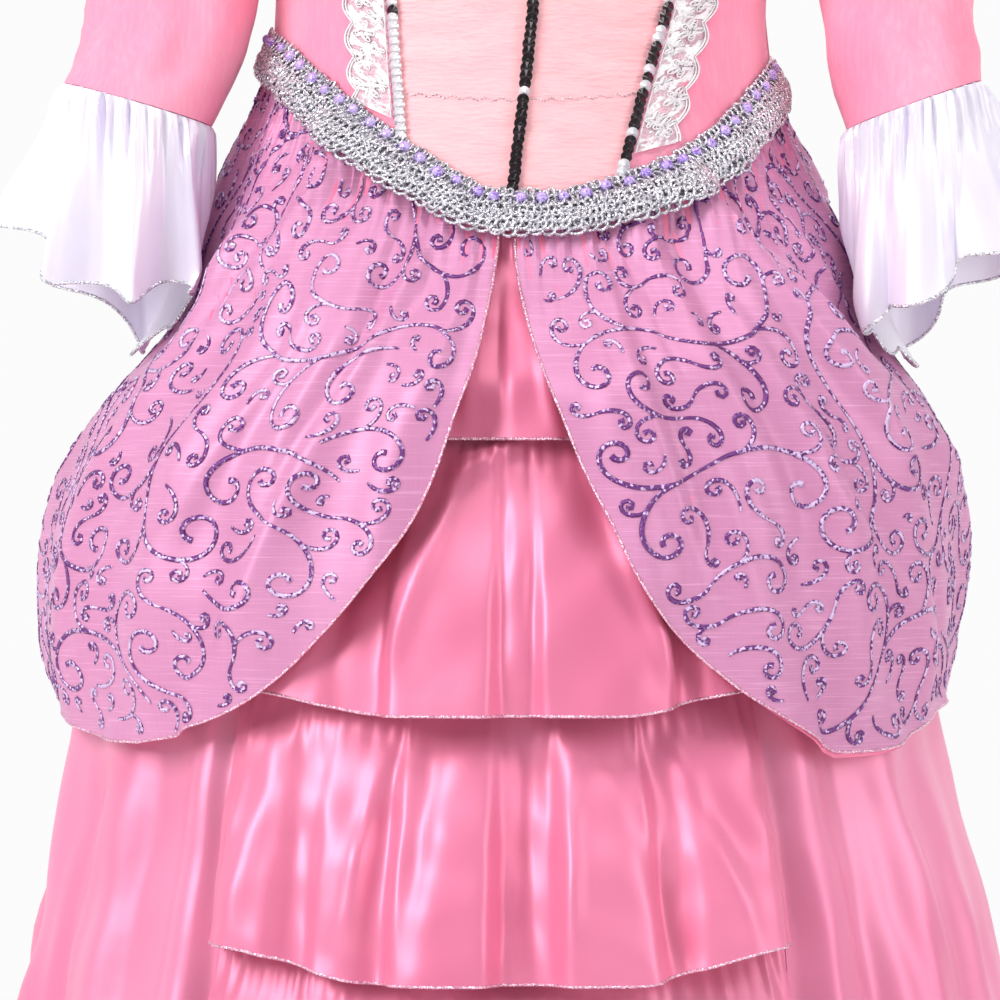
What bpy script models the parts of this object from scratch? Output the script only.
"""A child's princess costume dress, worn and hollow: tiered skirt, split overskirt, flounced sleeves.

Metres, +Z up, +X to the right of someone who looks at the front, front towards -Y. The origin is midway
between the two shoulder seams, at their height. A height is given as a drop: how far it lies below the
shoulder line. A direction round the body is an angle from the front, positive towards +X, 180 at the back.
"""

import bpy
import numpy as np

# Driving sizes
DRESS_LENGTH = 0.910
CLOTH = 0.0010
BODICE_CLOTH = 0.0015
SKIRT_CLOTH = 0.0012
SEAM_GAP = 0.0003
TRIM_GAP = 0.0005
WAIST_GAP = 0.0008
STEP = 1e-4

# Bodice
NECK_HALF = 0.070
FRONT_NECK_DROP = 0.080
BACK_NECK_DROP = 0.045
SHOULDER_DROP = 0.030
UNDERARM_DROP = 0.155
ARMHOLE_HALF_DEPTH = 0.050
ARMHOLE_STEPS = 10
STRAP_STEPS = 5
SIDE_STEPS = 8

# Trims on the bodice
SEQUIN_WIDTH = 0.0055
SEQUIN_THICK = 0.0012
LACE_WIDTH = 0.0145
LACE_SCALLOP = 0.0035
LACE_PITCH = 0.0150
PLACKET_WIDTH = 0.018
PLACKET_THICK = 0.0012
BRAID_ABOVE = 0.0095
BRAID_BELOW = 0.0100
BRAID_REACH = 0.0150
BRAID_THICK = 0.0022
BRAID_END = 86.0
LACE_CLEAR = 0.0020

# Skirt gore that carries the tiers, in degrees from the front
GORE_RIGHT = 32.5
GORE_LEFT = 37.5
SIDE_PANEL_END = 104.0
UNDER_FRONT = 0.0032
UNDER_SIDES = 0.0017

# Overskirt
PETAL_COLUMNS = 40
PETAL_ROWS = 11
GATHERS = 9
GATHER_HEIGHT = 0.0022
FREE_OF_SKIRT = 0.0040
FREE_OF_TIERS = 0.0190

# Sleeves
FLOUNCE_COLUMNS = 40
FLOUNCE_ROWS = 5
FLOUNCE_WAVES = 8
FREE_OF_OVERSKIRT = 0.0070


def table(columns, *rows):
    """A table with named columns, as one array for each column."""
    return dict(zip(columns.split(), np.array(rows, float).T))


TORSO = table(
    "drop width front back",
    (0.000, 0.0700, 0.0120, 0.0120),
    (0.008, 0.0880, 0.0250, 0.0270),
    (0.016, 0.1070, 0.0350, 0.0380),
    (0.024, 0.1210, 0.0425, 0.0470),
    (0.030, 0.1275, 0.0470, 0.0530),
    (0.045, 0.1320, 0.0560, 0.0640),
    (0.080, 0.1285, 0.0720, 0.0780),
    (0.120, 0.1215, 0.0850, 0.0830),
    (0.160, 0.1180, 0.0890, 0.0820),
    (0.200, 0.1140, 0.0870, 0.0785),
    (0.250, 0.1085, 0.0830, 0.0740),
    (0.270, 0.1075, 0.0825, 0.0740),
    (0.300, 0.1100, 0.0850, 0.0790),
    (0.330, 0.1165, 0.0895, 0.0880),
    (0.370, 0.1290, 0.0985, 0.1000),
)

WAIST = table(
    "angle right left",
    (0, 0.3680, 0.3680),
    (9, 0.3670, 0.3650),
    (17, 0.3630, 0.3555),
    (28, 0.3555, 0.3420),
    (43, 0.3420, 0.3240),
    (66, 0.3170, 0.3010),
    (90, 0.3005, 0.2900),
    (110, 0.2860, 0.2800),
    (140, 0.2740, 0.2730),
    (180, 0.2720, 0.2720),
)

FRONT_SEAMS = table(
    "drop right left centre",
    (0.080, 0.0700, 0.0700, 0.0000),
    (0.120, 0.0725, 0.0690, 0.0020),
    (0.160, 0.0735, 0.0670, 0.0045),
    (0.200, 0.0720, 0.0630, 0.0060),
    (0.240, 0.0685, 0.0585, 0.0065),
    (0.270, 0.0640, 0.0550, 0.0055),
    (0.300, 0.0560, 0.0530, 0.0030),
    (0.345, 0.0440, 0.0500, -0.0020),
    (0.368, 0.0390, 0.0490, -0.0045),
)

SKIRT = table(
    "drop right left front back",
    (0.270, 0.1000, 0.1000, 0.0800, 0.0800),
    (0.330, 0.1230, 0.1230, 0.0980, 0.1120),
    (0.380, 0.1290, 0.1310, 0.1100, 0.1300),
    (0.420, 0.1400, 0.1410, 0.1210, 0.1400),
    (0.460, 0.1560, 0.1580, 0.1320, 0.1500),
    (0.500, 0.1660, 0.1720, 0.1410, 0.1600),
    (0.550, 0.1740, 0.1870, 0.1500, 0.1700),
    (0.600, 0.1830, 0.1950, 0.1580, 0.1790),
    (0.650, 0.1960, 0.2020, 0.1660, 0.1880),
    (0.700, 0.2070, 0.2110, 0.1740, 0.1970),
    (0.800, 0.2270, 0.2310, 0.1890, 0.2130),
    (0.910, 0.2480, 0.2520, 0.2060, 0.2310),
)

OVERSKIRT = table(
    "drop right left front back",
    (0.270, 0.1150, 0.1150, 0.0900, 0.1100),
    (0.300, 0.1270, 0.1260, 0.1000, 0.1260),
    (0.330, 0.1335, 0.1325, 0.1120, 0.1430),
    (0.360, 0.1375, 0.1345, 0.1230, 0.1560),
    (0.380, 0.1405, 0.1370, 0.1330, 0.1640),
    (0.405, 0.1460, 0.1420, 0.1430, 0.1730),
    (0.425, 0.1560, 0.1560, 0.1510, 0.1790),
    (0.445, 0.1700, 0.1750, 0.1580, 0.1840),
    (0.470, 0.1830, 0.1930, 0.1650, 0.1890),
    (0.500, 0.1900, 0.2040, 0.1700, 0.1930),
    (0.530, 0.1900, 0.2080, 0.1740, 0.1950),
    (0.560, 0.1870, 0.2060, 0.1760, 0.1950),
    (0.600, 0.1800, 0.1960, 0.1770, 0.1930),
)

# The petal's front edge, which curves from the middle of the waist round to the lowest point of its hem
PETAL_EDGE = table(
    "right_drop right_angle left_drop left_angle",
    (0.3700, -1.5, 0.3690, 4.0),
    (0.3940, -0.8, 0.3935, 4.6),
    (0.4255, 1.8, 0.4255, 6.3),
    (0.4570, 5.5, 0.4570, 8.8),
    (0.4780, 7.9, 0.4780, 10.4),
    (0.4980, 10.8, 0.4980, 12.6),
    (0.5270, 15.1, 0.5250, 17.8),
    (0.5500, 20.7, 0.5460, 23.4),
    (0.5665, 26.6, 0.5630, 28.6),
    (0.5795, 33.0, 0.5770, 35.0),
    (0.5885, 38.5, 0.5870, 43.5),
    (0.5955, 46.0, 0.5920, 53.0),
)

PETAL_HEM = table(
    "angle right left",
    (40, 0.5955, 0.5920),
    (53, 0.5955, 0.5920),
    (62, 0.5910, 0.5915),
    (72, 0.5840, 0.5870),
    (90, 0.5760, 0.5790),
    (130, 0.5760, 0.5770),
    (180, 0.5770, 0.5770),
)

# Folds of the overskirt: an angle and a drop at top and foot; a step raises all that lies in front of it
OVERSKIRT_STEPS = table(
    "side top_drop top_angle foot_drop foot_angle height width",
    (1, 0.345, 33, 0.485, 86, 0.0130, 2.6),
    (-1, 0.320, 42, 0.450, 82, 0.0090, 3.2),
)
OVERSKIRT_FOLDS = table(
    "side top_drop top_angle foot_drop foot_angle height width",
    (1, 0.362, 9, 0.540, 17, 0.0060, 3.6),
    (1, 0.350, 20, 0.580, 33, 0.0085, 4.6),
    (1, 0.340, 33, 0.590, 50, 0.0080, 5.0),
    (1, 0.335, 48, 0.590, 68, 0.0060, 5.0),
    (1, 0.330, 78, 0.590, 100, 0.0070, 6.5),
    (1, 0.290, 118, 0.590, 124, 0.0085, 6.5),
    (1, 0.290, 140, 0.590, 146, 0.0070, 6.0),
    (1, 0.290, 162, 0.590, 166, 0.0080, 6.5),
    (-1, 0.355, 12, 0.530, 17, 0.0060, 3.6),
    (-1, 0.340, 26, 0.575, 33, 0.0085, 4.8),
    (-1, 0.330, 40, 0.590, 50, 0.0075, 5.0),
    (-1, 0.320, 56, 0.590, 72, 0.0060, 5.5),
    (-1, 0.320, 82, 0.590, 100, 0.0070, 6.5),
    (-1, 0.290, 116, 0.590, 122, 0.0080, 6.5),
    (-1, 0.290, 138, 0.590, 143, 0.0085, 6.0),
    (-1, 0.290, 160, 0.590, 164, 0.0070, 6.0),
)

# Folds of the satin skirt beside and behind the tiers, ridges above 0 and valleys below
SKIRT_FOLDS = table(
    "angle height width",
    (-41.5, 0.0140, 3.0),
    (-50.0, -0.0040, 3.5),
    (-58.0, 0.0130, 5.0),
    (-69.5, -0.0060, 4.0),
    (-80.0, 0.0120, 5.0),
    (-95.0, 0.0110, 5.0),
    (-110.0, 0.0150, 4.8),
    (-126.0, 0.0130, 5.0),
    (-142.0, 0.0150, 5.0),
    (-158.0, 0.0130, 4.8),
    (-174.0, 0.0150, 5.0),
    (38.5, 0.0120, 3.2),
    (46.5, -0.0090, 3.2),
    (56.0, 0.0140, 4.6),
    (70.0, 0.0090, 4.6),
    (84.0, 0.0130, 4.8),
    (99.0, 0.0120, 5.0),
    (115.0, 0.0150, 5.0),
    (131.0, 0.0130, 5.0),
    (147.0, 0.0150, 5.0),
    (163.0, 0.0130, 5.0),
)

TIERS = table(
    "top hem stand_off side_lift",
    (0.3680, 0.4650, 0.0100, 0.000),
    (0.4480, 0.5790, 0.0130, 0.010),
    (0.5600, 0.6880, 0.0130, 0.014),
    (0.6680, 0.7970, 0.0130, 0.006),
    (0.7760, 0.9060, 0.0130, 0.004),
)
# Each tier's pleats: the ruffle stands out between from_angle and to_angle
TIER_PLEATS = table(
    "tier from_angle to_angle height width",
    (1, -28, -10, 0.0045, 2.5),
    (1, -4, 6, 0.0040, 2.5),
    (1, 12, 27, 0.0045, 2.5),
    (2, -33, -23, 0.0050, 1.8),
    (2, -15.5, -3, 0.0125, 1.3),
    (2, 2, 18.5, 0.0110, 1.4),
    (2, 23, 30, 0.0050, 1.6),
    (3, -35, -27, 0.0080, 1.6),
    (3, -23, -17, 0.0055, 1.5),
    (3, -14, -3, 0.0125, 1.3),
    (3, 4, 15, 0.0120, 1.4),
    (3, 19, 30, 0.0090, 1.7),
    (4, -34, -25, 0.0090, 1.7),
    (4, -20, -12, 0.0075, 1.6),
    (4, -7, 3, 0.0110, 1.5),
    (4, 8, 17, 0.0090, 1.6),
    (4, 22, 30, 0.0090, 1.6),
    (5, -33, -26, 0.0085, 1.7),
    (5, -20, -9, 0.0110, 1.5),
    (5, -3, 6, 0.0090, 1.6),
    (5, 11, 19, 0.0095, 1.6),
    (5, 24, 30, 0.0075, 1.6),
)

# Sleeve: its inner and outer lines as seen from the front, how far forward it lies, and its half depth
SLEEVE = {
    1: table(
        "inner inner_drop outer outer_drop forward depth",
        (0.1180, 0.155, 0.1275, 0.030, 0.000, 0.0500),
        (0.1215, 0.158, 0.1450, 0.036, 0.000, 0.0495),
        (0.1225, 0.163, 0.1620, 0.051, 0.000, 0.0480),
        (0.1230, 0.170, 0.1760, 0.078, 0.000, 0.0455),
        (0.1235, 0.181, 0.1860, 0.112, 0.001, 0.0430),
        (0.1245, 0.197, 0.1925, 0.152, 0.003, 0.0410),
        (0.1255, 0.220, 0.1955, 0.193, 0.007, 0.0390),
        (0.1270, 0.247, 0.1970, 0.232, 0.012, 0.0370),
        (0.1300, 0.274, 0.1975, 0.263, 0.018, 0.0355),
        (0.1350, 0.302, 0.1985, 0.287, 0.025, 0.0345),
        (0.1410, 0.329, 0.2000, 0.308, 0.032, 0.0340),
    ),
    -1: table(
        "inner inner_drop outer outer_drop forward depth",
        (0.1180, 0.155, 0.1275, 0.030, 0.000, 0.0500),
        (0.1215, 0.158, 0.1450, 0.036, 0.000, 0.0495),
        (0.1225, 0.163, 0.1610, 0.051, 0.000, 0.0480),
        (0.1225, 0.170, 0.1740, 0.078, 0.000, 0.0460),
        (0.1222, 0.181, 0.1830, 0.114, 0.001, 0.0440),
        (0.1210, 0.197, 0.1885, 0.158, 0.003, 0.0425),
        (0.1185, 0.220, 0.1900, 0.203, 0.007, 0.0410),
        (0.1150, 0.245, 0.1895, 0.240, 0.012, 0.0395),
        (0.1140, 0.271, 0.1890, 0.270, 0.018, 0.0380),
        (0.1200, 0.300, 0.1925, 0.291, 0.025, 0.0360),
        (0.1335, 0.328, 0.1990, 0.309, 0.032, 0.0345),
    ),
}

# Flounce: its length and how far its hem stands out, round the arm: 0 outer side, 90 front, 180 inner side
FLOUNCE = {
    1: table(
        "angle length flare wave",
        (0, 0.058, 0.034, 0.0085),
        (45, 0.070, 0.020, 0.0075),
        (90, 0.084, 0.010, 0.0065),
        (135, 0.088, 0.003, 0.0050),
        (180, 0.094, 0.001, 0.0030),
        (225, 0.102, 0.003, 0.0045),
        (270, 0.100, 0.010, 0.0060),
        (315, 0.078, 0.022, 0.0075),
        (360, 0.058, 0.034, 0.0085),
    ),
    -1: table(
        "angle length flare wave",
        (0, 0.056, 0.024, 0.0080),
        (45, 0.082, 0.010, 0.0075),
        (90, 0.084, 0.006, 0.0065),
        (135, 0.072, 0.003, 0.0045),
        (180, 0.084, 0.001, 0.0030),
        (225, 0.098, 0.002, 0.0040),
        (270, 0.102, 0.006, 0.0060),
        (315, 0.080, 0.016, 0.0075),
        (360, 0.056, 0.024, 0.0080),
    ),
}

FINISHES = {
    "velour": ((1.00, 0.42, 0.58), 0.75),
    "chiffon": ((1.00, 0.55, 0.62), 0.65),
    "satin": ((0.86, 0.25, 0.44), 0.30),
    "side_satin": ((0.93, 0.38, 0.55), 0.35),
    "organza": ((0.78, 0.36, 0.60), 0.45),
    "flounce_satin": ((0.86, 0.82, 0.92), 0.32),
    "lace": ((0.95, 0.90, 0.93), 0.70),
    "sequins": ((0.55, 0.55, 0.57), 0.15),
    "silver_braid": ((0.72, 0.72, 0.74), 0.25),
}


def read(tab, column, key, at):
    """One column of a table read as a smooth curve at the given values of its key column."""
    xs, ys = tab[key], tab[column]
    slopes = np.gradient(ys, xs)
    at = np.clip(at, xs[0], xs[-1])
    row = np.clip(np.searchsorted(xs, at) - 1, 0, len(xs) - 2)
    span = xs[row + 1] - xs[row]
    u = (at - xs[row]) / span
    start = (1 + 2 * u) * (1 - u) ** 2 * ys[row] + u * (1 - u) ** 2 * span * slopes[row]
    end = u * u * (3 - 2 * u) * ys[row + 1] - u * u * (1 - u) * span * slopes[row + 1]
    return start + end


def ease(share):
    """0 to 1 with soft ends."""
    share = np.clip(share, 0, 1)
    return share * share * (3 - 2 * share)


def mix(first, second, share):
    """A blend of two values."""
    return first + (second - first) * share


def soft_max(first, second, blend=0.003):
    """The larger of two values, with a rounded change-over."""
    return 0.5 * (first + second + np.sqrt((first - second) ** 2 + blend**2))


def sided(angle, right, left):
    """The right or the left value, by which side of the body the angle is on."""
    return np.where(np.sin(np.radians(angle)) >= 0, right, left)


def wrapped(angle):
    """An angle brought between -180 and 180."""
    return (np.asarray(angle, float) + 180) % 360 - 180


def oval_point(angle, drop, width, depth):
    """The point of a horizontal oval in that direction."""
    turn = np.radians(angle)
    return np.stack([width * np.sin(turn), -depth * np.cos(turn), -drop + 0 * turn], axis=-1)


def depth_of(tab, angle, drop):
    """A table's half depth in front of or behind the body's middle."""
    front = np.cos(np.radians(angle)) >= 0
    return np.where(front, read(tab, "front", "drop", drop), read(tab, "back", "drop", drop))


def waist_drop(angle):
    """The drop of the seam that joins bodice and skirt."""
    turn = np.abs(wrapped(angle))
    return sided(angle, read(WAIST, "right", "angle", turn), read(WAIST, "left", "angle", turn))


def torso(angle, drop, out=0.0):
    """A point of the bodice's outer face, moved out by a distance."""
    width = read(TORSO, "width", "drop", drop) + out
    return oval_point(angle, drop, width, depth_of(TORSO, angle, drop) + out)


def under_the_waist(angle):
    """How far inside the bodice's face the skirt's top edge lies, to leave room for tier and overskirt."""
    turn = wrapped(angle)
    outside = np.where(turn > 0, turn - GORE_RIGHT, -turn - GORE_LEFT)
    return mix(UNDER_FRONT, UNDER_SIDES, ease(outside / 6))


def half_sizes(tab, angle, drop):
    """A skirt table's half width and half depth."""
    width = sided(angle, read(tab, "right", "drop", drop), read(tab, "left", "drop", drop))
    return width, depth_of(tab, angle, drop)


def from_waist(tab, angle, drop, inset, reach):
    """Half sizes that leave the waist seam at the bodice's size and reach the table's within a distance."""
    seam = waist_drop(angle)
    share = ease((drop - seam) / reach)
    width, depth = half_sizes(tab, angle, drop)
    seam_width = read(TORSO, "width", "drop", seam) - inset
    seam_depth = depth_of(TORSO, angle, seam) - inset
    return mix(seam_width, width, share), mix(seam_depth, depth, share)


def bump(angle, centre, width):
    """A soft ridge of height 1 round an angle."""
    return np.exp(-((wrapped(angle - centre) / width) ** 2))


def plateau(angle, start, stop, width):
    """1 between two angles and 0 outside, with rounded flanks."""
    rise = 0.5 * (1 + np.tanh((angle - start) / width))
    return rise * 0.5 * (1 - np.tanh((angle - stop) / width))


def skirt_relief(angle, drop):
    """The satin skirt's folds, which grow from below the hips to the hem."""
    grown = 0.35 * ease((drop - 0.40) / 0.16) + 0.65 * ease((drop - 0.56) / 0.30)
    relief = np.zeros(np.broadcast(angle, drop).shape)
    for centre, height, width in zip(*(SKIRT_FOLDS[c] for c in ("angle", "height", "width"))):
        relief = relief + height * bump(angle, centre, width)
    turn = wrapped(angle)
    beside = ease(np.maximum(turn - GORE_RIGHT, -turn - GORE_LEFT) / 3)
    return relief * grown * beside


def skirt(angle, drop, out=0.0):
    """A point of the satin skirt's outer face, moved out by a distance."""
    width, depth = from_waist(SKIRT, angle, drop, under_the_waist(angle), 0.075)
    out = out + skirt_relief(angle, drop)
    return oval_point(angle, drop, width + out, depth + out)


def fold_share(folds, row, angle, drop):
    """How far an angle lies from a slanting fold, in the fold's own widths, and how much of it is there."""
    down = (drop - folds["top_drop"][row]) / (folds["foot_drop"][row] - folds["top_drop"][row])
    centre = mix(folds["top_angle"][row], folds["foot_angle"][row], np.clip(down, 0, 1.2))
    side = folds["side"][row]
    there = ease(down * 3 + 0.3) * (1 - ease((down - 0.86) * 3)) * (np.sin(np.radians(angle)) * side > -0.05)
    return (np.abs(wrapped(angle)) - centre) / folds["width"][row], there


def gathers(angle, drop):
    """The small gathers where the overskirt leaves the waist seam."""
    below = drop - waist_drop(angle)
    waves = 0.5 * (1 + np.cos(np.radians(wrapped(angle) * 2 * GATHERS)))
    return GATHER_HEIGHT * waves * ease(below / 0.012) * (1 - ease((below - 0.02) / 0.07))


def overskirt_relief(angle, drop):
    """The overskirt's soft folds and its two large overlapping ones."""
    relief = np.zeros(np.broadcast(angle, drop).shape)
    for row in range(len(OVERSKIRT_FOLDS["side"])):
        away, there = fold_share(OVERSKIRT_FOLDS, row, angle, drop)
        relief = relief + OVERSKIRT_FOLDS["height"][row] * np.exp(-(away**2)) * there
    for row in range(len(OVERSKIRT_STEPS["side"])):
        away, there = fold_share(OVERSKIRT_STEPS, row, angle, drop)
        front = 0.5 * (1 - np.tanh(away)) * np.exp(-((np.minimum(away, 0) / 7) ** 2))
        relief = relief + OVERSKIRT_STEPS["height"][row] * front * there
    return relief


def overskirt(angle, drop, out=0.0, crest=None):
    """A point of the overskirt's outer face, clear of what lies under it; crest stands for its gathers."""
    back = ease((np.abs(wrapped(angle)) - 90) / 30)
    width, depth = from_waist(OVERSKIRT, angle, drop, 0.0, mix(0.085, 0.045, back))
    under_width, under_depth = from_waist(SKIRT, angle, drop, under_the_waist(angle), 0.075)
    turn = wrapped(angle)
    before = 1 - ease(np.maximum(turn - GORE_RIGHT, -turn - GORE_LEFT) / 12)
    below = ease((drop - waist_drop(angle)) / 0.05)
    room = below * mix(FREE_OF_SKIRT, FREE_OF_TIERS, before) + skirt_relief(angle, drop)
    relief = overskirt_relief(angle, drop)
    out = out + (gathers(angle, drop) if crest is None else crest)
    width = soft_max(width + relief, under_width + room, 0.002)
    depth = soft_max(depth + relief, under_depth + room, 0.002)
    return oval_point(angle, drop, width + out, depth + out)


def tier(number):
    """The outer face of one tier, as a function of angle and drop."""
    top, hem, stand_off = (TIERS[c][number - 1] for c in ("top", "hem", "stand_off"))
    rows = [i for i, value in enumerate(TIER_PLEATS["tier"]) if value == number]

    def face(angle, drop, out=0.0):
        start = waist_drop(angle) if number == 1 else top
        share = np.clip((drop - start) / (hem - start), 0, 1.05)
        to_edge = np.minimum(GORE_RIGHT - angle, angle + GORE_LEFT)
        sewn = mix(0.6, 1.0, ease(to_edge / 3.5))
        lift = stand_off * np.sin(np.minimum(share * 1.15, 1) * np.pi / 2) * sewn
        for row in rows:
            start_angle, stop_angle = TIER_PLEATS["from_angle"][row], TIER_PLEATS["to_angle"][row]
            pleat = plateau(angle, start_angle, stop_angle, TIER_PLEATS["width"][row])
            lift = lift + TIER_PLEATS["height"][row] * pleat * ease(share * 1.3) * sewn
        if number == 1:
            width, depth = from_waist(SKIRT, angle, drop, UNDER_SIDES, 0.075)
        else:
            width, depth = from_waist(SKIRT, angle, drop, UNDER_FRONT, 0.075)
            lift = lift + CLOTH + 2 * SEAM_GAP
        return oval_point(angle, drop, width + lift + out, depth + lift + out)

    return face


def normals_of(face, angle, drop):
    """The outward directions of a face given as a function of angle and drop."""
    degree = np.degrees(STEP)
    down = face(angle, drop + STEP) - face(angle, drop - STEP)
    round_body = face(angle + degree, drop) - face(angle - degree, drop)
    normal = np.cross(down, round_body)
    return normal / np.linalg.norm(normal, axis=-1, keepdims=True)


def grid_normals(points):
    """The outward directions of a tube given as rings of points, top to bottom."""
    down = np.gradient(points, axis=0)
    round_arm = np.roll(points, -1, axis=1) - np.roll(points, 1, axis=1)
    normal = np.cross(down, round_arm)
    return normal / np.linalg.norm(normal, axis=-1, keepdims=True)


def material(name):
    """A plain finish for one kind of cloth or trim."""
    made = bpy.data.materials.get(name)
    if made is None:
        colour, roughness = FINISHES[name]
        made = bpy.data.materials.new(name)
        made.use_nodes = True
        shader = made.node_tree.nodes["Principled BSDF"]
        shader.inputs["Base Color"].default_value = (*colour, 1.0)
        shader.inputs["Roughness"].default_value = roughness
        shader.inputs["Metallic"].default_value = 0.9 if name in ("sequins", "silver_braid") else 0.0
    return made


def wall(name, outer, inner, finish, closed=False):
    """A closed wall between an outer and an inner grid of points, rows from the top, columns round the body."""
    rows, columns = outer.shape[:2]
    points = np.concatenate([outer.reshape(-1, 3), inner.reshape(-1, 3)])
    count = rows * columns
    last = columns if closed else columns - 1
    faces = []
    for i in range(rows - 1):
        for j in range(last):
            a, b = i * columns + j, i * columns + (j + 1) % columns
            c, d = a + columns, b + columns
            faces.append((a, c, d, b))
            faces.append((count + a, count + b, count + d, count + c))
    for j in range(last):
        a, b = j, (j + 1) % columns
        c, d = a + (rows - 1) * columns, b + (rows - 1) * columns
        faces.append((a, b, count + b, count + a))
        faces.append((d, c, count + c, count + d))
    if not closed:
        for i in range(rows - 1):
            a, c = i * columns, (i + 1) * columns
            b, d = a + columns - 1, c + columns - 1
            faces.append((c, a, count + a, count + c))
            faces.append((b, d, count + d, count + b))
    mesh = bpy.data.meshes.new(name)
    mesh.from_pydata(points.tolist(), [], faces)
    mesh.materials.append(material(finish))
    mesh.shade_smooth()
    mesh.set_sharp_from_angle(angle=np.radians(50))
    piece = bpy.data.objects.new(name, mesh)
    bpy.context.scene.collection.objects.link(piece)
    return piece


def panel(name, face, angle, drop, thickness, finish, raised=0.0):
    """A panel of cloth over a grid of angles and drops, its thickness inside the face."""
    normal = normals_of(face, angle, drop)
    outer = face(angle, drop) + normal * raised
    return wall(name, outer, outer - normal * thickness, finish)


def arc(values):
    """Shares from 0 to 1 by length along a line of points."""
    steps = np.linalg.norm(np.diff(values, axis=0), axis=1)
    return np.concatenate([[0], np.cumsum(steps)]) / steps.sum()


def armhole(phase, front):
    """Angle and drop of a point of the armhole, phase 0 at the shoulder and pi under the arm."""
    middle = (SHOULDER_DROP + UNDERARM_DROP) / 2
    drop = middle - (UNDERARM_DROP - SHOULDER_DROP) / 2 * np.cos(phase)
    depth = read(TORSO, "front" if front else "back", "drop", drop)
    angle = np.degrees(np.arccos(ARMHOLE_HALF_DEPTH * np.sin(phase) / depth))
    return (angle if front else 180 - angle), drop


def at_width(distance, drop):
    """The angle at which the torso's front is that far from the middle."""
    return np.degrees(np.arcsin(np.clip(distance / read(TORSO, "width", "drop", drop), -1, 1)))


def seam_angle(side, drop, away=0.0):
    """The angle of the front seam on one side, or of a line that far outside it."""
    column = "right" if side > 0 else "left"
    return side * at_width(read(FRONT_SEAMS, column, "drop", drop) + away, drop)


def seam_foot(side):
    """The drop at which a front seam meets the waist seam."""
    drop = 0.35
    for _ in range(12):
        drop = float(waist_drop(seam_angle(side, drop)))
    return drop


def side_edge(side, front):
    """Outer edge of a bodice panel: round the armhole, then down the side seam."""
    phases = np.linspace(0, np.pi, ARMHOLE_STEPS + 1)
    angle, drop = armhole(phases, front)
    foot = waist_drop(side * 90.0) - WAIST_GAP / 2
    lower = np.linspace(UNDERARM_DROP, foot, SIDE_STEPS + 1)[1:]
    angle = np.concatenate([angle, np.full(SIDE_STEPS, 90.0)])
    drop = np.concatenate([drop, lower])
    return angle, drop


def seam_clear(angle, drop, front):
    """Keeps a panel half a gap away from the line over shoulder and side seam."""
    depth = read(TORSO, "front" if front else "back", "drop", drop)
    limit = np.degrees(np.arccos(SEAM_GAP / 2 / depth))
    return np.minimum(angle, limit) if front else np.maximum(angle, 180 - limit)


def even_angles(face, start, stop, drop, count):
    """Angles from start to stop that lie closer together where the cloth turns more."""
    fine = np.linspace(start, stop, 600)
    drop = drop + 0 * fine
    path = np.concatenate([face(fine, drop), 0.012 * normals_of(face, fine, drop)], axis=-1)
    return np.interp(np.linspace(0, 1, count), arc(path), fine)


def bodice_side_front(side):
    """Front panel beside the centre: strap, armhole and side."""
    outer_angle, outer_drop = side_edge(side, True)
    rows = len(outer_drop)
    strap = np.linspace(0, FRONT_NECK_DROP, STRAP_STEPS + 1)
    foot = seam_foot(side) - WAIST_GAP / 2
    inner_drop = np.concatenate([strap, np.linspace(FRONT_NECK_DROP, foot, rows - STRAP_STEPS)[1:]])
    strap_angle = at_width(NECK_HALF, strap)
    seam = np.abs(seam_angle(side, inner_drop[STRAP_STEPS + 1 :], SEAM_GAP / 2))
    inner_angle = np.concatenate([strap_angle, seam])
    across = np.linspace(0, 1, 7)[None, :]
    angle = mix(inner_angle[:, None], outer_angle[:, None], across)
    drop = mix(inner_drop[:, None], outer_drop[:, None], across)
    foot_line = waist_drop(side * angle[-1]) - WAIST_GAP / 2
    drop = drop + np.linspace(0, 1, rows)[:, None] ** 3 * (foot_line - drop[-1])[None, :]
    angle = seam_clear(angle, drop, True)
    if side < 0:
        angle, drop = -angle[:, ::-1], drop[:, ::-1]
    name = "bodice_side_front_right" if side > 0 else "bodice_side_front_left"
    panel(name, torso, angle, drop, BODICE_CLOTH, "velour")
    return inner_drop[STRAP_STEPS:]


def bodice_front(left_rows, right_rows):
    """Centre front panel between the two front seams."""
    across = np.linspace(0, 1, 9)[None, :]
    drop = mix(left_rows[:, None], right_rows[:, None], across)
    left = seam_angle(-1, left_rows, -SEAM_GAP / 2)[:, None]
    right = seam_angle(1, right_rows, -SEAM_GAP / 2)[:, None]
    angle = mix(left, right, across)
    foot_line = waist_drop(angle[-1]) - WAIST_GAP / 2
    drop = drop + np.linspace(0, 1, len(drop))[:, None] ** 3 * (foot_line - drop[-1])[None, :]
    panel("bodice_front", torso, angle, drop, BODICE_CLOTH, "chiffon")


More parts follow.
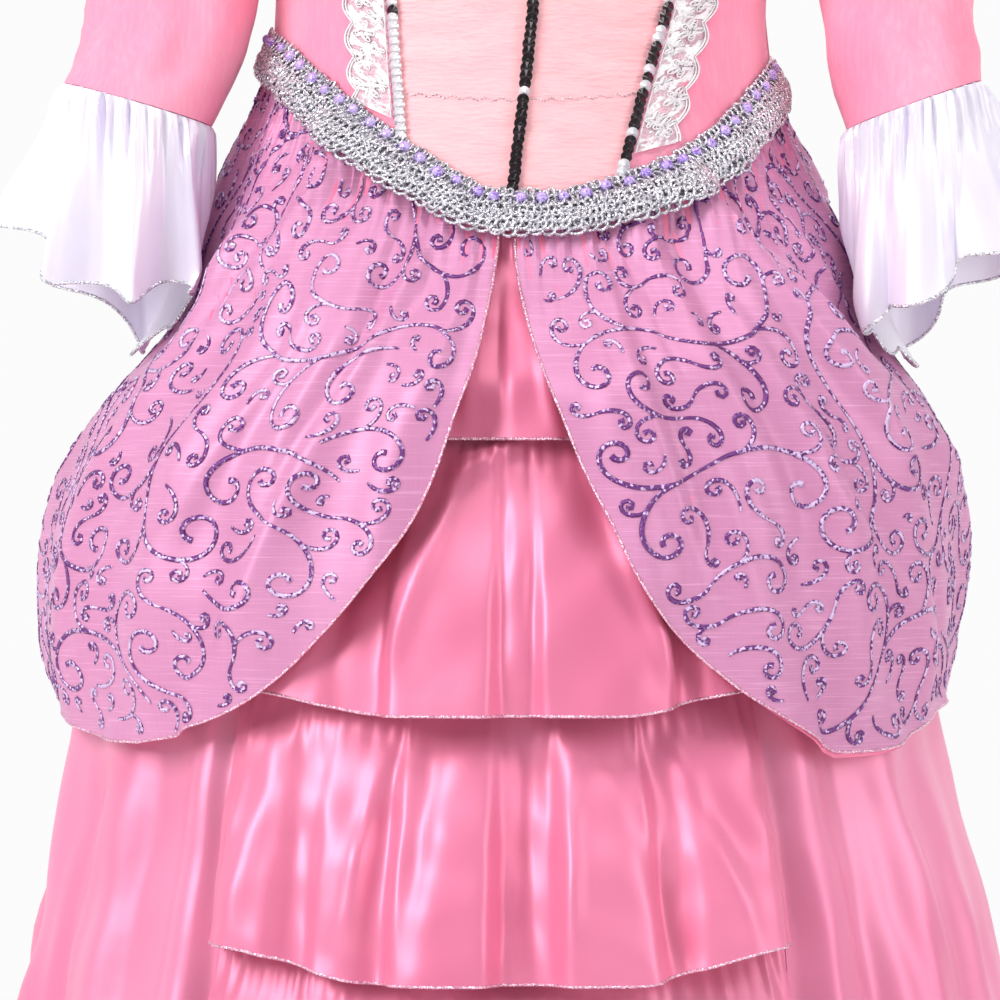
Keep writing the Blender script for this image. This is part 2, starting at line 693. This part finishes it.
def bodice_back(side):
    """Half of the back, from the side seam to the centre back."""
    outer_angle, outer_drop = side_edge(side, False)
    rows = len(outer_drop)
    turn = np.linspace(0, np.pi / 2, STRAP_STEPS + 1)
    neck_drop = BACK_NECK_DROP * np.sin(turn)
    neck_angle = 180 - at_width(NECK_HALF * np.cos(turn), neck_drop)
    foot = waist_drop(180.0) - WAIST_GAP / 2
    lower = np.linspace(BACK_NECK_DROP, foot, rows - STRAP_STEPS)[1:]
    clear = np.degrees(SEAM_GAP / 2 / read(TORSO, "width", "drop", lower))
    inner_drop = np.concatenate([neck_drop, lower])
    inner_angle = np.concatenate([neck_angle, 180 - clear])
    inner_angle[STRAP_STEPS] = inner_angle[STRAP_STEPS + 1]
    across = np.linspace(0, 1, 7)[None, :]
    angle = mix(outer_angle[:, None], inner_angle[:, None], across)
    drop = mix(outer_drop[:, None], inner_drop[:, None], across)
    foot_line = waist_drop(side * angle[-1]) - WAIST_GAP / 2
    drop = drop + np.linspace(0, 1, rows)[:, None] ** 3 * (foot_line - drop[-1])[None, :]
    angle = seam_clear(angle, drop, False)
    if side < 0:
        angle, drop = -angle[:, ::-1], drop[:, ::-1]
    name = "bodice_back_right" if side > 0 else "bodice_back_left"
    panel(name, torso, angle, drop, BODICE_CLOTH, "velour")


def back_placket():
    """Strip over the centre-back opening, which closes it."""
    drop = np.linspace(BACK_NECK_DROP + 0.002, waist_drop(180.0) - 0.002, 14)[:, None]
    half = np.degrees(PLACKET_WIDTH / 2 / read(TORSO, "width", "drop", drop))
    angle = 180 + half * np.linspace(-1, 1, 4)[None, :]
    drop = drop + 0 * angle
    panel("back_placket", torso, angle, drop, PLACKET_THICK, "velour", TRIM_GAP + PLACKET_THICK)


def sequin_strips():
    """The three strips of the lacing-like sequin trim: on both front seams and down the middle."""
    lines = {
        "sequin_strip_right": lambda drop: seam_angle(1, drop),
        "sequin_strip_left": lambda drop: seam_angle(-1, drop),
        "sequin_strip_centre": lambda drop: at_width(read(FRONT_SEAMS, "centre", "drop", drop), drop),
    }
    for name, line in lines.items():
        foot = 0.35
        for _ in range(12):
            foot = float(waist_drop(line(np.array(foot)))) - BRAID_REACH - TRIM_GAP
        drop = np.linspace(FRONT_NECK_DROP + 0.001, foot, 15)[:, None]
        half = np.degrees(SEQUIN_WIDTH / 2 / read(TORSO, "width", "drop", drop))
        angle = line(drop) + half * np.array([[-1, 1]])
        raised = TRIM_GAP + SEQUIN_THICK
        panel(name, torso, angle, drop + 0 * angle, SEQUIN_THICK, "sequins", raised)


def lace_edging(side):
    """Scalloped lace just outside a front seam's sequin strip."""
    near = SEQUIN_WIDTH / 2 + 2 * SEAM_GAP
    share = np.linspace(0, 1, 3)[None, :]
    foot = 0.35 + 0 * share
    for _ in range(12):
        foot = waist_drop(seam_angle(side, foot, near + LACE_WIDTH * share)) - BRAID_REACH - LACE_CLEAR
    drop = mix(FRONT_NECK_DROP + 0.002, foot, np.linspace(0, 1, 33)[:, None])
    scallop = LACE_WIDTH + LACE_SCALLOP * np.abs(np.sin(np.pi * drop / LACE_PITCH))
    angle = seam_angle(side, drop, near + scallop * share)
    if side < 0:
        angle, drop = angle[:, ::-1], drop[:, ::-1]
    name = "lace_right" if side > 0 else "lace_left"
    panel(name, torso, angle, drop, CLOTH, "lace", TRIM_GAP + CLOTH)


def braid_bed(angle, drop, out=0.0):
    """What the braid lies on: the bodice above the seam and the crests of the gathers below it."""
    below = drop - waist_drop(angle)
    crest = GATHER_HEIGHT * ease(below / 0.008) + 4 * TRIM_GAP + out
    lower = overskirt(angle, np.maximum(drop, waist_drop(angle)), 0.0, crest)
    upper = torso(angle, drop, TRIM_GAP + out)
    share = ease(below / 0.006 + 1)[..., None]
    flat = mix(upper[..., :2], lower[..., :2], share)
    return np.concatenate([flat, upper[..., 2:]], axis=-1)


def waist_braid():
    """Looped metallic braid over the front of the waist seam, lying on bodice and overskirt."""
    angle = np.linspace(-BRAID_END, BRAID_END, 37)[None, :]
    ahead, behind = (braid_bed(angle + turn, waist_drop(angle + turn)) for turn in (0.5, -0.5))
    flat = np.linalg.norm((ahead - behind)[..., :2], axis=-1)
    slope = (waist_drop(angle + 0.5) - waist_drop(angle - 0.5)) / flat
    slant = 1 / np.sqrt(1 + slope**2)
    across = np.array([-BRAID_ABOVE, -0.0025, 0.0035, BRAID_BELOW])[:, None]
    drop = waist_drop(angle) + across * slant
    angle = angle - across * slope * slant / flat
    panel("waist_braid", braid_bed, angle, drop, BRAID_THICK, "silver_braid", BRAID_THICK)


def skirt_panels():
    """The satin skirt: the front gore under the tiers, two side panels and the back."""
    clear = 0.05
    spans = {
        "skirt_front_gore": (-GORE_LEFT + clear, GORE_RIGHT - clear, 12),
        "skirt_side_right": (GORE_RIGHT + clear, SIDE_PANEL_END - clear, 24),
        "skirt_side_left": (-SIDE_PANEL_END + clear, -GORE_LEFT - clear, 22),
        "skirt_back": (SIDE_PANEL_END + clear, 360 - SIDE_PANEL_END - clear, 42),
    }
    share = np.array([0, 0.05, 0.12, 0.21, 0.33, 0.5, 0.73, 1])[:, None]
    for name, (start, stop, columns) in spans.items():
        angle = even_angles(skirt, start, stop, DRESS_LENGTH, columns)[None, :] + 0 * share
        seam = waist_drop(angle) + WAIST_GAP / 2
        drop = mix(seam, DRESS_LENGTH, share)
        panel(name, skirt, angle, drop, SKIRT_CLOTH, "side_satin")


def skirt_tier(number):
    """One gathered satin tier across the front gore."""
    top, hem, side_lift = (TIERS[c][number - 1] for c in ("top", "hem", "side_lift"))
    angle = even_angles(tier(number), -GORE_LEFT + 0.5, GORE_RIGHT - 0.5, hem, 31)[None, :]
    share = np.array([0, 0.2, 0.55, 1])[:, None]
    start = waist_drop(angle) + WAIST_GAP / 2 if number == 1 else top + 0 * angle
    away = np.abs(angle + 2) / GORE_LEFT
    foot = hem - side_lift * ease((away - 0.35) / 0.5)
    drop = mix(start, foot, share)
    panel(f"skirt_tier_{number}", tier(number), angle + 0 * drop, drop, CLOTH, "satin")


def petal_grid(side, columns, rows):
    """Angles and drops over one half of the overskirt, from its curved front edge to the centre back."""
    name = "right" if side > 0 else "left"
    edge_drop, edge_angle = PETAL_EDGE[name + "_drop"], PETAL_EDGE[name + "_angle"]
    shares = arc(np.stack([edge_drop, np.radians(edge_angle) * 0.18], axis=1))
    edge = {"share": shares, "drop": edge_drop, "angle": edge_angle}
    down = np.interp(np.linspace(0, 1, rows + 1), (0, 0.27, 1), (0, 0.12, 1))[:, None]
    across = np.linspace(0, 1, columns + 1)[None, :]
    seam_back = 180 - 0.06
    front_angle = read(edge, "angle", "share", down)
    front_drop = read(edge, "drop", "share", down)
    angle = mix(front_angle, seam_back, across)
    top = waist_drop(side * angle[:1]) + WAIST_GAP / 2
    bottom = read(PETAL_HEM, name, "angle", angle[-1:])
    back_drop = mix(top[:, -1:], bottom[:, -1:], down)
    front_drop = front_drop + (1 - down) ** 2 * (top[:, :1] - front_drop[:1])
    drop = mix(front_drop, back_drop, across) + mix(top, bottom, down)
    drop = drop - mix(mix(top[:, :1], bottom[:, :1], down), mix(top[:, -1:], bottom[:, -1:], down), across)
    return (side * angle, drop) if side > 0 else (-angle[:, ::-1], drop[:, ::-1])


def overskirt_half(side):
    """One half of the split overskirt."""
    angle, drop = petal_grid(side, PETAL_COLUMNS, PETAL_ROWS)
    name = "overskirt_right" if side > 0 else "overskirt_left"
    panel(name, overskirt, angle, drop, CLOTH, "organza")


def sleeve_ring(side, row, phase):
    """Points round the arm at a row of the sleeve's table, phase 0 on the outer side, 90 degrees in front."""
    line = SLEEVE[side]
    outer = np.array([line["outer"][row], 0, -line["outer_drop"][row]])
    inner = np.array([line["inner"][row], 0, -line["inner_drop"][row]])
    middle = (outer + inner) / 2 - np.array([0, line["forward"][row], 0])
    ring = middle + np.cos(phase)[:, None] * (outer - inner) / 2
    ring = ring - np.sin(phase)[:, None] * np.array([0, line["depth"][row], 0])
    return ring * np.array([side, 1, 1])


def armhole_ring(side, phase):
    """The sleeve's first ring: the armhole's own points, one gap inside it."""
    front = np.sin(phase) >= 0
    folded = np.where(front, phase, 2 * np.pi - phase)
    angle_front, drop = armhole(folded, True)
    angle = side * np.where(front, angle_front, armhole(folded, False)[0])
    points = torso(angle, drop)
    normal = normals_of(torso, angle, drop)
    tangent = np.roll(points, -1, axis=0) - np.roll(points, 1, axis=0)
    into_hole = np.cross(normal, tangent)
    into_hole = into_hole / np.linalg.norm(into_hole, axis=1, keepdims=True)
    centre = points.mean(axis=0)
    into_hole = into_hole * np.sign(((centre - points) * into_hole).sum(axis=1, keepdims=True))
    return points + into_hole * SEAM_GAP


def facing_out(side, points):
    """Rings with their columns in the order that turns the faces outwards on that arm."""
    return points[:, ::-1] if side > 0 else points


def sleeve(side):
    """Velour sleeve from the armhole to just below the elbow."""
    phase = np.linspace(0, 2 * np.pi, 2 * ARMHOLE_STEPS, endpoint=False)
    rings = [armhole_ring(side, phase)]
    rings += [sleeve_ring(side, row, phase) for row in range(1, len(SLEEVE[side]["inner"]))]
    outer = facing_out(side, np.array(rings))
    inner = outer - grid_normals(outer) * SKIRT_CLOTH
    name = "sleeve_right" if side > 0 else "sleeve_left"
    wall(name, outer, inner, "velour", closed=True)


def clear_of_overskirt(points):
    """Points moved sideways until they lie just outside the overskirt."""
    drop = -points[..., 2]
    angle = np.degrees(np.arctan2(points[..., 0], -points[..., 1]))
    for _ in range(4):
        face = overskirt(angle, drop)
        flat = np.arctan2(face[..., 0], -face[..., 1]) - np.arctan2(points[..., 0], -points[..., 1])
        angle = angle - np.degrees(flat)
    reach = np.linalg.norm(face[..., :2], axis=-1) + FREE_OF_OVERSKIRT
    own = np.linalg.norm(points[..., :2], axis=-1)
    pushed = soft_max(own, np.where(drop > 0.30, reach, 0), 0.001)
    moved = points.copy()
    moved[..., :2] *= (pushed / own)[..., None]
    return moved


def flounce_points(side, columns, rows):
    """Rings of the flounce, from the cuff to its waved hem."""
    phase = np.linspace(0, 2 * np.pi, columns, endpoint=False)
    last = len(SLEEVE[side]["inner"]) - 1
    cuff = sleeve_ring(side, last, phase)
    axis = sleeve_ring(side, last, phase).mean(axis=0) - sleeve_ring(side, last - 1, phase).mean(axis=0)
    axis = axis / np.linalg.norm(axis)
    radial = cuff - cuff.mean(axis=0)
    radial[:, 2] = 0
    radial = radial / np.linalg.norm(radial, axis=1, keepdims=True)
    across = np.stack([-radial[:, 1], radial[:, 0], 0 * radial[:, 0]], axis=1)
    degrees = np.degrees(phase)
    length, flare, wave = (read(FLOUNCE[side], c, "angle", degrees) for c in ("length", "flare", "wave"))
    beat = FLOUNCE_WAVES * phase + 0.5 * np.sin(2 * phase)
    rings = []
    for share in np.linspace(0, 1, rows + 1):
        grown = ease(share * 1.1) * (0.35 + 0.65 * share)
        out = flare * share + wave * grown * np.cos(beat)
        shift = -0.55 * wave * grown * np.sin(beat)
        fall = length * share + 0.003 * share * np.cos(beat)
        ring = cuff + axis * TRIM_GAP + radial * out[:, None] + across * shift[:, None]
        ring[:, 2] -= fall
        rings.append(ring)
    points = clear_of_overskirt(np.array(rings))
    return facing_out(side, points)


def flounce(side):
    """White satin flounce gathered on to the cuff."""
    outer = flounce_points(side, FLOUNCE_COLUMNS, FLOUNCE_ROWS)
    inner = outer - grid_normals(outer) * CLOTH
    name = "flounce_right" if side > 0 else "flounce_left"
    wall(name, outer, inner, "flounce_satin", closed=True)


def main():
    """Builds the whole dress."""
    for old in list(bpy.data.objects):
        bpy.data.objects.remove(old)
    right_rows = bodice_side_front(1)
    left_rows = bodice_side_front(-1)
    bodice_front(left_rows, right_rows)
    for side in (1, -1):
        bodice_back(side)
        lace_edging(side)
        sleeve(side)
        flounce(side)
        overskirt_half(side)
    back_placket()
    sequin_strips()
    waist_braid()
    skirt_panels()
    for number in range(1, len(TIERS["top"]) + 1):
        skirt_tier(number)


main()
